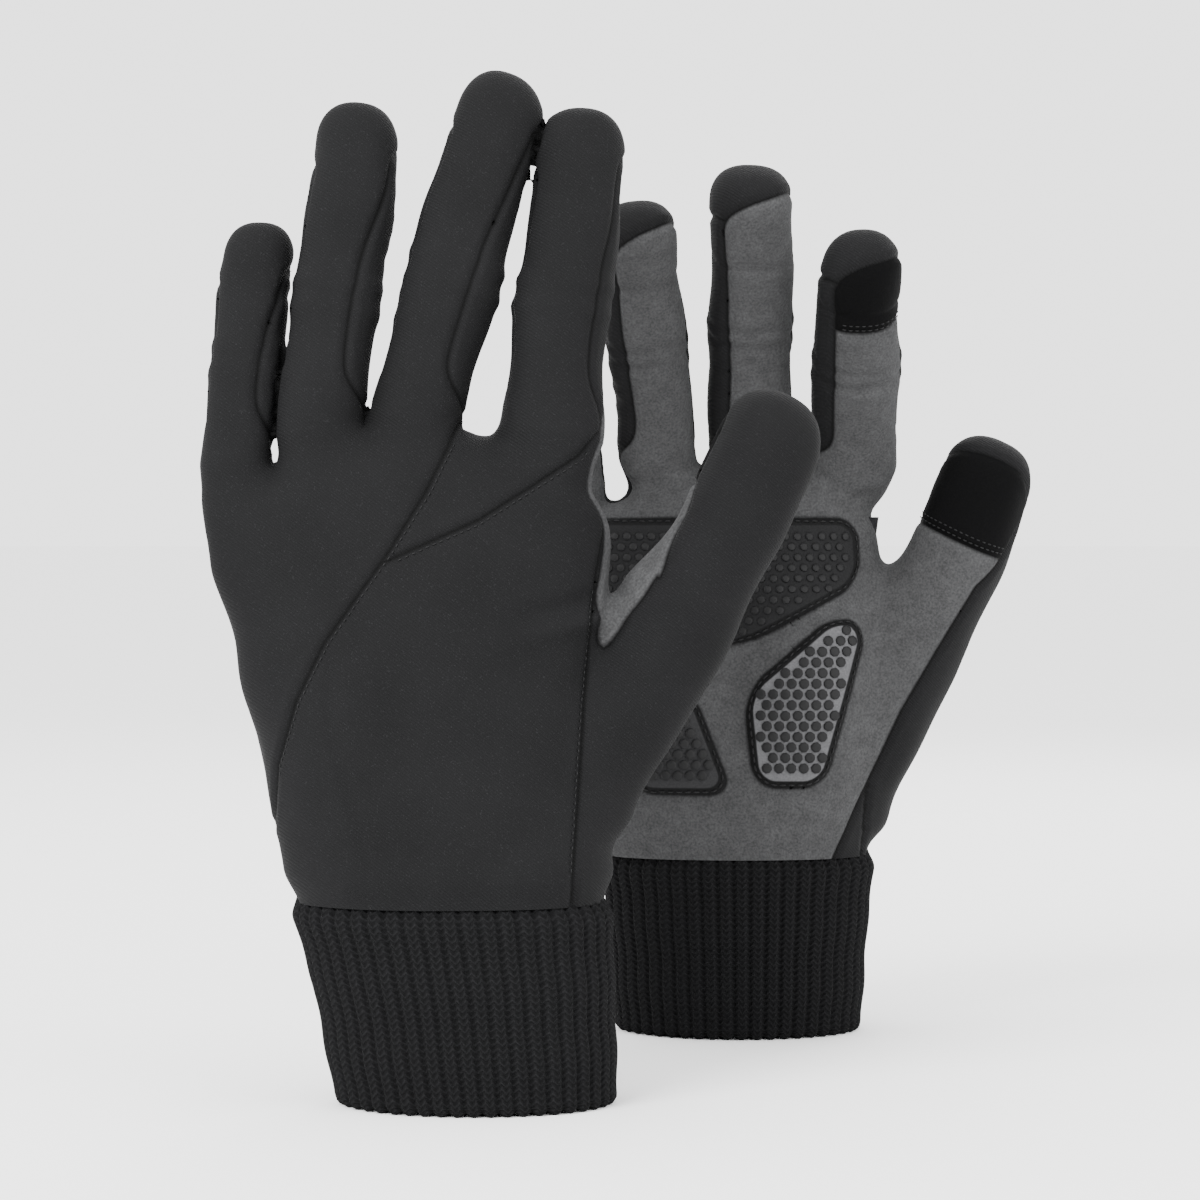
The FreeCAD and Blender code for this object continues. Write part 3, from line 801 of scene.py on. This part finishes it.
def cut_panels(glove, points, tris):
    """Cuts the whole skin along every seam and joint line."""

    def cut(values_of, valid_of):
        nonlocal points, tris
        points, tris = split(points, tris, values_of(points), valid_of(points))

    names = list(STALLS)

    def nearest(q):
        return np.argmin(np.stack([glove.stall(q, name) for name in names]), axis=0)

    for number, name in enumerate(names):
        length = STALLS[name][2]
        start = HINGE_START[glove.side][name]

        def up(q, name=name):
            return glove.coords(q, name)[0]

        def palmward(q, name=name):
            return glove.coords(q, name)[2]

        def near(q, low, high, number=number, name=name):
            s = up(q)
            return (nearest(q) == number) & (s > low) & (s < high) & (glove.stall(q, name) < STALL_REACH)

        cut(lambda q: up(q) - start, lambda q: near(q, start - 5, start + 5))
        cut(lambda q: up(q) - middle_of(name, start), lambda q: near(q, start + 3, length))
        if number + 1 < len(FINGERS):
            cut(lambda q: glove.stall(q, name) - glove.stall(q, FINGERS[number + 1]),
                lambda q: (np.abs(up(q) - start) < 14) & (glove.stall(q, name) < STALL_REACH))

        def angles(q, name=name):
            s, a, b = glove.coords(q, name, flat=name == "thumb")
            return s, angle_round(a, b), np.hypot(a, b)

        def cut_seam(limit_of, top, reach):
            """Cuts along a seam whose angle round the stall changes with the distance up it."""
            def seam(q):
                s, angle, _ = angles(q)
                return (angle - limit_of(s)) * MM_PER_DEGREE

            cut(seam, lambda q: near(q, start - 1, top) & (np.abs(seam(q)) < reach))

        if name == "thumb":
            cut_seam(thumb_inner, length + 2, 12)
            cut_seam(lambda s: 180 - thumb_outer(s), length + 2, 12)
            cut(lambda q: arch(name, up(q), angles(q)[1]) * 5,
                lambda q: near(q, length - 20, length + 5) & (angles(q)[2] > 0.5))
            cut(lambda q: up(q) - THUMB_TOUCH_START, lambda q: near(q, 20, 40) & (palmward(q) > -8))
            continue
        for which in range(4):
            cut_seam(lambda s: seam_angles(glove, name, s)[which], length - 3, 10)
        cut(lambda q: arch(name, up(q), angles(q)[1]) * 5,
            lambda q: near(q, length - 20, length + 5) & (palmward(q) > -3))
        cut(lambda q: up(q) - length + SIDE_STOP, lambda q: near(q, length - 17, length - 6))
        if name == "index":
            cut(lambda q: up(q) - length + INDEX_TOUCH_LENGTH,
                lambda q: near(q, length - 36, length - 22) & (palmward(q) > -4))

    def on_hand(q):
        inside = np.ones(len(q), bool)
        for name in names:
            s = glove.coords(q, name)[0]
            mine = (glove.stall(q, name) < STALL_REACH) & (nearest(q) == names.index(name))
            inside &= ~(mine & (s > HINGE_START[glove.side][name] + 1))
        return inside

    cut(lambda q: glove.past_seam(q, BACK_SEAM, True), lambda q: on_hand(q) & (q[:, 1] < 4))
    cut(lambda q: glove.past_seam(q, THUMB_SEAM, True), lambda q: on_hand(q) & (q[:, 1] < 0))
    cut(lambda q: glove.past_seam(q, GUSSET_SEAM, False),
        lambda q: on_hand(q) & (q[:, 1] < 4) & (glove.past_seam(q, BACK_SEAM, True) > -2))
    cut(lambda q: glove.side_line(q[:, 0], q[:, 2]) - q[:, 1], on_hand)
    for pad in PADS:
        cut(lambda q: glove.pad_distance(q, pad), lambda q: q[:, 1] > 2)
    cut(glove.past_thumb_edge,
        lambda q: on_hand(q) & (q[:, 1] > -6) & (q[:, 0] > glove.middle(q[:, 2]) + 12))
    return points, tris


def nodes_of(glove, cloth, part):
    """The CAD nodes that a panel stands for."""
    side = glove.side
    if cloth in PADS:
        return [side + "_" + cloth]
    if part == "hand":
        return [side + ("_hand_palm" if cloth == PALM_CLOTH else "_hand_back")]
    finger = part.rsplit("_", 1)[0]
    if cloth.startswith(TOUCH):
        return [side + "_" + finger + "_touch"]
    if cloth == PALM_CLOTH:
        # The thumb's tip has only its touch patch on the palm side.
        return [] if part == "thumb_tip" else [side + "_" + part + "_palm"]
    return [side + "_" + part + "_back"]


def build_skin(glove):
    """All of a glove's cloth panels, cut from one surface so that they meet along their seams."""
    points, tris = surface_net(glove, *SKIN_SPACE[glove.side], GRID_STEP)
    points = glove.settle(points)
    points, tris = split(points, tris, points[:, 2] - SKIN_BOTTOM, np.ones(len(points), bool))
    tris = tris[points[tris].mean(1)[:, 2] > SKIN_BOTTOM]
    points, tris = cut_panels(glove, points, tris)
    used, tris = np.unique(tris, return_inverse=True)
    points, tris = points[used], tris.reshape(-1, 3)
    cloth, part = classify(glove, points[tris].mean(1))
    edges, which = edges_of(tris)
    owner = np.repeat(np.arange(len(tris)), 3)
    order = np.argsort(which.ravel(), kind="stable")
    flat, owner = which.ravel()[order], owner[order]
    same = flat[1:] == flat[:-1]
    first, second = owner[:-1][same], owner[1:][same]
    shared = flat[:-1][same]
    seam_edges = edges[shared[cloth[first] != cloth[second]]]
    on_seam = np.zeros(len(points), bool)
    on_seam[seam_edges.ravel()] = True
    smooth_normals = vertex_normals(points, tris)
    tree = kdtree.KDTree(int(on_seam.sum()))
    for number, place in enumerate(points[on_seam]):
        tree.insert(place, number)
    tree.balance()
    distance = np.array([tree.find(place)[2] for place in points])
    # The cloth turns in at a seam, with a low roll beside it.
    dip = 0.75 * bump(distance, 1.15) - 0.12 * bump(distance - 2.2, 1.1)
    points = points - smooth_normals * dip[:, None]
    whole_normals = vertex_normals(points, tris)
    # Distance to the nearest seam, kept on each panel for the painted shade beside its seams.
    seam = np.minimum(distance, 9.0)
    made = {}
    for key in sorted(set(zip(cloth, part))):
        chosen = tris[(cloth == key[0]) & (part == key[1])]
        used, local = np.unique(chosen, return_inverse=True)
        local = local.reshape(-1, 3)
        place = points[used]
        panel = shell(glove, "%s_%s_%s" % (glove.side, key[0], key[1]), place, local, whole_normals[used])
        keep_values(panel, "seam", "FLOAT", np.tile(seam[used], 2))
        if key[0] in PADS:
            keep_values(panel, "edge", "FLOAT", np.tile(glove.pad_distance(place, key[0]), 2))
        made[key] = panel
    return made


def shell(glove, name, place, tris, normal):
    """A panel of cloth with its own thickness, from its outer face."""
    count = len(place)
    edges, which = edges_of(tris)
    uses = np.bincount(which.ravel(), minlength=len(edges))
    rim_rows, rim_cols = np.where(uses[which] == 1)
    heads = tris[rim_rows, rim_cols]
    tails = tris[rim_rows, (rim_cols + 1) % 3]
    walls_a = np.stack([tails, heads, heads + count], 1)
    walls_b = np.stack([tails, heads + count, tails + count], 1)
    faces = np.concatenate([tris, tris[:, ::-1] + count, walls_a, walls_b])
    points = np.concatenate([place, place - normal * CLOTH])
    normals = np.concatenate([normal, -normal])
    if glove.facing < 0:
        faces = faces[:, ::-1]
    return make_mesh(name, glove.world(points), faces, None, glove.turn(normals))


def material_of(cloth):
    if cloth == PALM_CLOTH:
        return "suede"
    if cloth.startswith(TOUCH):
        return "touch_fabric"
    if cloth in PADS:
        return "grip_silicone"
    return "softshell"


def bend(glove, obj, part):
    """Attaches a panel of the hand to the hand's body; a finger's panel only has its transform baked into its
    points.
    """
    side = glove.side
    if part == "hand":
        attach(obj, side + "_hand")
        return
    finger, level = part.rsplit("_", 1)
    root, along = glove.stalls[finger][:2]
    start, lower = HINGE_START[side][finger], STALLS[finger][3]
    if level == "base":
        ends, bodies = (start, start + HINGE_LENGTH), (side + "_hand", side + "_" + finger + "_base")
    else:
        ends = (lower - HALF_BEND, lower + HALF_BEND)
        bodies = (side + "_" + finger + "_base", side + "_" + finger + "_tip")
    places = [Vector(place) for place in glove.world(np.array([root + along * end for end in ends]))]
    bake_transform(obj)


def tube(glove, name, rows, centre_of, around, material):
    """A closed ring of cloth: rows of points round the wrist, the last row joined back to the first."""
    count = len(around)
    points = []
    for z, inset, lift in rows:
        centre, wide, deep, power = centre_of(z)
        c, n = np.cos(around), np.sin(around)
        x = centre + (wide - inset) * np.sign(c) * np.abs(c) ** (2 / power)
        p = (deep - inset) * np.sign(n) * np.abs(n) ** (2 / power)
        points.append(np.stack([x, p, z + lift + np.zeros(count)], 1))
    numbers = np.arange(len(rows) * count).reshape(len(rows), count)
    following = np.roll(numbers, -1, axis=1)
    above = [np.roll(row, -1, axis=0) for row in (following, numbers)]
    faces = np.stack([numbers, following, *above], 2).reshape(-1, 4)
    if glove.facing > 0:
        faces = faces[:, ::-1]
    obj = make_mesh(name, glove.world(np.concatenate(points)), faces, material)
    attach(obj, glove.side + "_hand")
    return obj


RIBS = 44
RIB_SAMPLES = 8
RIB_DEPTH = 1.3
# The cuff's knit goes up to here inside the hand's skin.
CUFF_TOP = 53.4


def build_cuff(glove):
    """The ribbed knit cuff, with a rolled hem and its own inside."""
    sections = CUFFS[glove.side]

    def section(z):
        z = min(max(z, 0.0), 52.0)
        heights = [row[0] for row in sections]
        return tuple(float(np.interp(z, heights, [row[n] for row in sections])) for n in (1, 2, 3)) + (2.0,)

    turns = np.linspace(0, 2 * math.pi, 2001)
    wide, deep = 39, 26.5
    walk = np.hypot(wide * np.diff(np.cos(turns)), deep * np.diff(np.sin(turns)))
    arc = np.concatenate([[0], np.cumsum(walk)])
    steps = np.arange(RIBS * RIB_SAMPLES) / (RIBS * RIB_SAMPLES)
    around = np.interp(steps * arc[-1], arc, turns)
    column = steps * RIBS
    rib = (0.5 + 0.5 * np.cos(2 * math.pi * column)) ** 0.6
    wavy = 0.35 * np.sin(3 * around + 1) + 0.25 * np.sin(5 * around + 2)
    rows, marks = [], []
    outside = list(np.linspace(CUFF_TOP, 2.4, 40))
    hem = [(1.4, 0.25), (0.5, 0.8), (0.0, 1.6), (0.4, 2.3), (1.4, 2.8)]
    inside = list(np.linspace(3.0, CUFF_TOP, 14))
    for z in outside:
        tuck = 2.6 * float(smoothstep(47, CUFF_TOP, z)) + 0.25 * math.sin(z * 0.35)
        rows.append((z, tuck + RIB_DEPTH * (1 - rib) + 0.4 + wavy * 0.4, 0.0))
        marks.append(z)
    for z, inset in hem:
        rows.append((z, inset + RIB_DEPTH * (1 - rib) * 0.8 + 0.4 + wavy * 0.4, 0.8 * (1 - rib)))
        marks.append(z - inset)
    for z in inside:
        tuck = 2.6 * float(smoothstep(47, CUFF_TOP, z))
        rows.append((z, tuck + 3.3 + 0.5 * rib, 0.0))
        marks.append(-z)
    cuff = tube(glove, glove.side + "_cuff_knit", rows, section, around, MATERIALS["rib_knit"])
    knit = np.zeros((len(rows), len(around), 3), np.float32)
    knit[:, :, 0] = column
    knit[:, :, 1] = np.array(marks)[:, None]
    keep_values(cuff, "knit", "FLOAT_VECTOR", knit)
    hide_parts(glove.side + "_cuff")


def build_lining(glove):
    """The fleece inside the hand, seen through the wrist."""
    def section(z):
        centre, wide, deep = (float(np.interp(z, glove.hand_z, column)) for column in glove.hand)
        return centre, wide, deep, 2.2

    around = np.linspace(0, 2 * math.pi, 120, endpoint=False)
    ruffle = 0.25 * np.sin(9 * around) + 0.15 * np.sin(23 * around)
    outer = [(z, 2.9 + ruffle * 0.3, 0.0) for z in np.linspace(150, 54, 25)]
    inner = [(z, 3.9 + ruffle, 0.0) for z in np.linspace(54, 150, 25)]
    lining = tube(glove, glove.side + "_fleece", outer + inner, section, around, MATERIALS["fleece_lining"])
    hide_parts(glove.side + "_lining")


def stack_faces(base, rows, sides):
    """Faces of a stack of rings of points, numbered from base, closed at the bottom."""
    faces = [[base + side for side in reversed(range(sides))]]
    for low in range(base, base + (rows - 1) * sides, sides):
        for side in range(sides):
            following = (side + 1) % sides
            faces.append([low + side, low + following, low + sides + following, low + sides + side])
    return faces


def studs(glove, name, places, normals, sides, rings, material):
    """Many small raised buttons in one mesh: rings of (radius, height) round each place, closed on top."""
    across = unit(np.cross(normals, np.array([0.0, 0.0, 1.0])))
    up = np.cross(across, normals)
    points, faces = [], []
    block = len(rings) * sides + 1
    for number, place in enumerate(places):
        for radius, height in rings:
            for side in range(sides):
                angle = 2 * math.pi * side / sides + math.pi / 6
                outward = math.cos(angle) * across[number] + math.sin(angle) * up[number]
                points.append(place + radius * outward + height * normals[number])
        points.append(place + (rings[-1][1] + 0.04) * normals[number])
        faces += stack_faces(number * block, len(rings), sides)
        top = (number + 1) * block - 1
        for side in range(sides):
            faces.append([top - sides + side, top - sides + (side + 1) % sides, top])
    if glove.facing > 0:
        faces = [face[::-1] for face in faces]
    return make_mesh(name, glove.world(np.array(points)), faces, material)


DOT_PITCH = 3.5
# Room between a dot and its pad's edge, and between that edge and its stitches.
DOT_MARGIN = 1.9
PAD_STITCH_INSET = 1.3
DOT_RADIUS = {"knuckle_pad": 1.2, "thumb_pad": 1.52, "heel_pad": 1.52}


def build_dots(glove, pad):
    """The silicone dots of a grip pad."""
    outline = np.array(glove.pad_outline(pad))
    low, high = outline.min(0), outline.max(0)
    places = []
    rise = DOT_PITCH * math.sqrt(3) / 2
    for row in range(int((high[1] - low[1]) / rise) + 1):
        for column in range(int((high[0] - low[0]) / DOT_PITCH) + 1):
            places.append((low[0] + (column + 0.5 * (row % 2)) * DOT_PITCH, low[1] + row * rise))
    places = np.array(places)
    flat = np.stack([places[:, 0], np.zeros(len(places)), places[:, 1]], 1)
    places = places[glove.pad_distance(flat, pad) < -DOT_RADIUS[pad] - DOT_MARGIN]
    points = glove.drop_on(places[:, 0], places[:, 1])
    normals, _ = glove.normals(points)
    radius = DOT_RADIUS[pad]
    rings = [(radius, -0.25), (radius, 0.35), (radius * 0.92, 0.5), (radius * 0.5, 0.56)]
    dots = studs(glove, "%s_%s_dots" % (glove.side, pad), points, normals, 8, rings, DOTS)
    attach(dots, glove.side + "_hand")


def stitches(glove, name, points, part, length=1.7, pitch=2.5, radius=0.24):
    """Small threads laid along a line of points on the cloth."""
    gaps = np.linalg.norm(np.diff(points, axis=0), axis=1)
    arc = np.concatenate([[0], np.cumsum(gaps)])
    starts = np.arange(0.4, arc[-1] - length, pitch)
    if len(starts) == 0:
        return
    shares = (0.0, 0.2, 0.5, 0.8, 1.0)
    girth = (0.25, 0.85, 1.0, 0.85, 0.25)
    sides = 6
    block = sides * len(shares)
    rows = []
    for share in shares:
        rows.append(np.stack([np.interp(starts + share * length, arc, points[:, n]) for n in range(3)], 1))
    normals, _ = glove.normals(rows[2])
    across = unit(np.cross(rows[-1] - rows[0], normals))
    verts, faces = [], []
    for number in range(len(starts)):
        for row, swell in zip(rows, girth):
            middle = row[number] + normals[number] * (radius * 1.4 * swell - 0.12)
            for side in range(sides):
                angle = 2 * math.pi * side / sides
                outward = math.cos(angle) * across[number] + math.sin(angle) * normals[number]
                verts.append(middle + radius * swell * outward)
        faces += stack_faces(number * block, len(shares), sides)
        faces.append([(number + 1) * block - sides + side for side in range(sides)])
    if glove.facing < 0:
        faces = [face[::-1] for face in faces]
    obj = make_mesh(name, glove.world(np.array(verts)), faces, THREAD)
    bend(glove, obj, part)


def pad_line(glove, pad, inset):
    """A closed line round a pad, inside its edge."""
    outline = np.array(glove.pad_outline(pad))
    centre = outline.mean(0)
    turns = np.linspace(0, 2 * math.pi, 300)
    low, high = np.zeros(len(turns)), np.full(len(turns), 80.0)
    for _ in range(20):
        middle = (low + high) / 2
        flat = np.stack([centre[0] + middle * np.cos(turns), np.zeros(len(turns)),
                         centre[1] + middle * np.sin(turns)], 1)
        inside = glove.pad_distance(flat, pad) < -inset
        low, high = np.where(inside, middle, low), np.where(inside, high, middle)
    return glove.drop_on(centre[0] + low * np.cos(turns), centre[1] + low * np.sin(turns))


def patch_line(glove, finger, s, ends):
    """A line across the palm side of a finger at a distance up it, between two angles from its palm."""
    root, along, across, palm = glove.stalls[finger]
    angles = np.radians(np.linspace(*ends, 40))
    radius = glove.radius(finger, s) * 0.97
    centre = root + along * s + palm * glove.bow(finger, s)
    q = centre + radius * (np.sin(angles)[:, None] * across + np.cos(angles)[:, None] * palm)
    return glove.settle(q, rounds=5)


def back_line(glove, table, by_height, offset, low, high):
    """A line along a seam of the back, a little to one side of it."""
    walk = np.linspace(low, high, 120)
    other = np.interp(walk, *zip(*table)) + offset
    x, z = (other, walk) if by_height else (walk, other)
    return glove.drop_on(x + glove.seam_shift, z - glove.seam_drop, toward=-1.0)


# Finger, distance up it, the angles from its palm between which its patch is stitched, and part.
PATCH_STITCHES = [
    ("index", STALLS["index"][2] - INDEX_TOUCH_LENGTH, (-31.0, 76.0), "index_tip"),
    ("thumb", THUMB_TOUCH_START, (-68.0, 74.0), "thumb_tip"),
]
# Distances of the two rows of stitches past a patch's edge.
PATCH_ROWS = (1.3, 2.9)
# Seam, whether it gives x at a height, the stitches' distance beside it, and where they start and end.
BACK_STITCHES = [
    (BACK_SEAM, True, 1.2, 84.0, 168.0),
    (GUSSET_SEAM, False, -1.2, -51.0, -3.0),
    (THUMB_SEAM, True, -1.0, 60.0, 132.0),
]

for side in ("left", "right"):
    glove = Glove(side)
    for (cloth, part), panel in build_skin(glove).items():
        slot = material_of(cloth)
        panel.data.materials.append(PAD_BASES[cloth] if cloth in PADS else MATERIALS[slot])
        bend(glove, panel, part)
        nodes = nodes_of(glove, cloth, part)
        if nodes:
            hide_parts(*nodes)
    build_cuff(glove)
    build_lining(glove)
    for pad in PADS:
        build_dots(glove, pad)
        stitches(glove, "%s_%s_thread" % (side, pad), pad_line(glove, pad, PAD_STITCH_INSET), "hand")
    for finger, height, ends, part in PATCH_STITCHES:
        for number, shift in enumerate(PATCH_ROWS):
            line = patch_line(glove, finger, height + shift, ends)
            stitches(glove, "%s_%s_touch_thread_%d" % (side, finger, number), line, part, 1.2, 1.8, 0.2)
    for number, seam in enumerate(BACK_STITCHES):
        line = back_line(glove, *seam)
        stitches(glove, "%s_back_thread_%d" % (side, number), line, "hand", 1.1, 1.9, 0.16)


def add_area(name, place, energy, size):
    light = bpy.data.lights.new(name, "AREA")
    light.energy = energy
    light.size = size
    obj = bpy.data.objects.new(name, light)
    obj.location = place
    obj.rotation_euler = (Vector(AIM) - Vector(place)).to_track_quat("-Z", "Y").to_euler()
    bpy.context.scene.collection.objects.link(obj)
    return obj


WORLD_LIGHT = 2.6
FLOOR_REACH = 30
FLOOR_CORNERS = [(x * FLOOR_REACH, y * FLOOR_REACH, 0) for x, y in ((-1, -1), (1, -1), (1, 1), (-1, 1))]
AIM = (0, 0, 0.13)
# Name, place, power in watts, size.
LAMPS = [
    ("key_light", (-0.7, -1.0, 1.0), 34, 0.7),
    ("fill_light", (0.9, -0.8, 0.6), 8, 0.9),
    ("rim_light", (0.3, 1.0, 0.9), 8, 0.8),
]
# The camera stands this far in front of the left glove's middle, at this height, looking a little down.
CAMERA_DISTANCE = 0.9
CAMERA_HEIGHT = 0.1463
CAMERA_DIP = 1.14
CAMERA_LENS = 105.9

floor_mesh = bpy.data.meshes.new("floor")
floor_mesh.from_pydata(FLOOR_CORNERS, [], [(0, 1, 2, 3)])
floor = bpy.data.objects.new("floor", floor_mesh)
floor.data.materials.append(plain_material("floor", (0.95, 0.95, 0.95), 1.0))
bpy.context.scene.collection.objects.link(floor)
world = bpy.data.worlds.new("studio")
world.use_nodes = True
world.node_tree.nodes["Background"].inputs["Color"].default_value = (1, 1, 1, 1)
world.node_tree.nodes["Background"].inputs["Strength"].default_value = WORLD_LIGHT
bpy.context.scene.world = world
[add_area(*lamp) for lamp in LAMPS]

camera = bpy.data.objects.new("camera", bpy.data.cameras.new("camera"))
bpy.context.scene.collection.objects.link(camera)
camera.data.sensor_width = 36
camera.data.lens = CAMERA_LENS
camera.location = (PAIR_SHIFT * MM, -CAMERA_DISTANCE - PAIR_SPACING / 2 * MM, CAMERA_HEIGHT)
camera.rotation_euler = (math.radians(90 - CAMERA_DIP), 0, 0)
camera.data.clip_start = 0.05
bpy.context.scene.camera = camera
